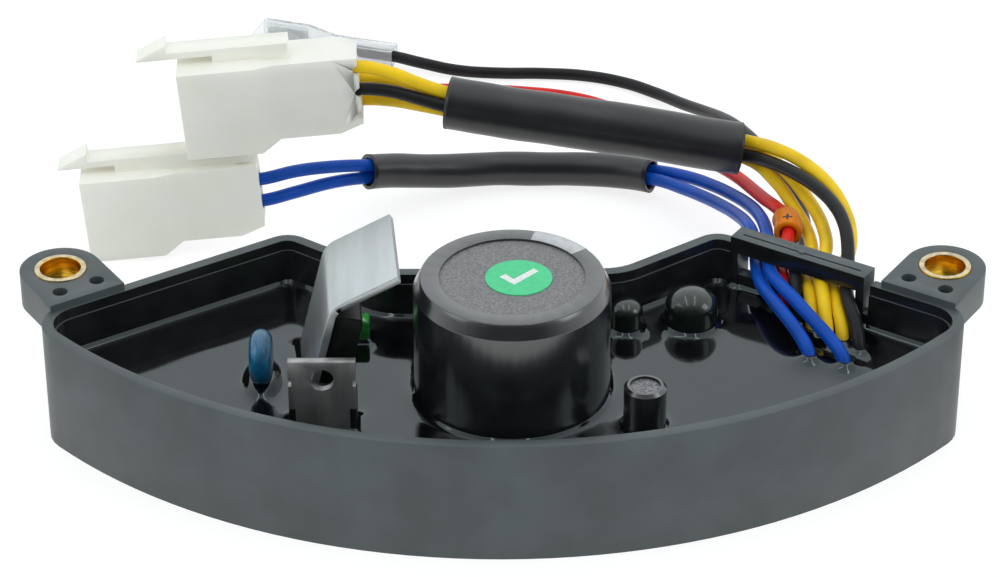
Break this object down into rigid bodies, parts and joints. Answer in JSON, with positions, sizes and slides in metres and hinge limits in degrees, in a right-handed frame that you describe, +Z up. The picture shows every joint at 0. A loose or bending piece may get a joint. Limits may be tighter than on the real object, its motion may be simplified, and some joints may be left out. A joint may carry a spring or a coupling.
{
  "type": "automatic voltage regulator",
  "caption": "Arc-shaped potted generator voltage regulator with bushed end lugs, a large capacitor, latch-plug harnesses and two covered brush leads.",
  "frame": {"origin": "on the base plane, under the middle of the regulator without its harness", "axes": "+X along the line of the two fixing holes, +Y towards the notched rear wall and the harness, +Z up out of the open tray"},
  "size_m": [0.1528, 0.1701, 0.039],
  "materials": {
    "housing_plastic": "satin moulded black plastic",
    "bush_brass": "turned, bright rim",
    "resin": "glossy black potting resin",
    "board": "green circuit board",
    "black_sleeve": "shrunk gloss black sleeve",
    "aluminium": "rolled plate",
    "grey_disc": "dull dark grey disc",
    "tinned": "tin plated",
    "green_sticker": "bare green round sticker",
    "black_epoxy": "moulded epoxy",
    "tab_metal": "dull plated copper tab",
    "blue_coating": "dipped blue coating",
    "green_coating": "dipped green coating",
    "dark_coating": "dipped dark coating under resin",
    "blue_insulation": "satin wire insulation",
    "yellow_insulation": "satin wire insulation",
    "black_insulation": "satin wire insulation",
    "red_insulation": "satin wire insulation",
    "sleeving": "satin sleeving",
    "nylon": "natural nylon",
    "terminal_brass": "stamped terminals",
    "orange_tag": "printed marker tube",
    "clear_cover": "clear soft vinyl"
  },
  "bodies": {
    "root": {"housing": "housing_plastic", "bush_left": "bush_brass", "bush_right": "bush_brass", "potting": "resin", "circuit_board": "board", "control_board": "board", "capacitor_sleeve": "black_sleeve", "capacitor_can": "aluminium", "capacitor_top_disc": "grey_disc", "capacitor_terminals": "tinned", "inspection_sticker": "green_sticker", "heat_sink": "aluminium", "rectifier": "black_epoxy", "rectifier_leads": "tinned", "transistor_tab": "tab_metal", "transistor_body": "black_epoxy", "transistor_leads": "tinned", "varistor": "blue_coating", "varistor_leads": "tinned", "film_capacitor": "green_coating", "film_capacitor_leads": "tinned", "small_capacitor_can": "aluminium", "small_capacitor_sleeve": "black_sleeve", "small_capacitor_leads": "tinned", "dipped_capacitor_large": "dark_coating", "dipped_capacitor_small": "dark_coating", "dipped_capacitor_leads": "tinned", "blue_wire_a": "blue_insulation", "blue_wire_b": "blue_insulation", "small_sleeve": "sleeving", "two_pin_housing": "nylon", "two_pin_terminals": "terminal_brass", "yellow_wire_a": "yellow_insulation", "yellow_wire_b": "yellow_insulation", "yellow_wire_c": "yellow_insulation", "black_wire": "black_insulation", "large_sleeve": "sleeving", "six_pin_housing": "nylon", "six_pin_terminals": "terminal_brass", "red_brush_lead": "red_insulation", "polarity_tag": "orange_tag", "red_brush_terminal": "tinned", "red_brush_cover": "clear_cover", "black_brush_lead": "black_insulation", "black_brush_terminal": "tinned", "black_brush_cover": "clear_cover"}
  },
  "joints": []
}
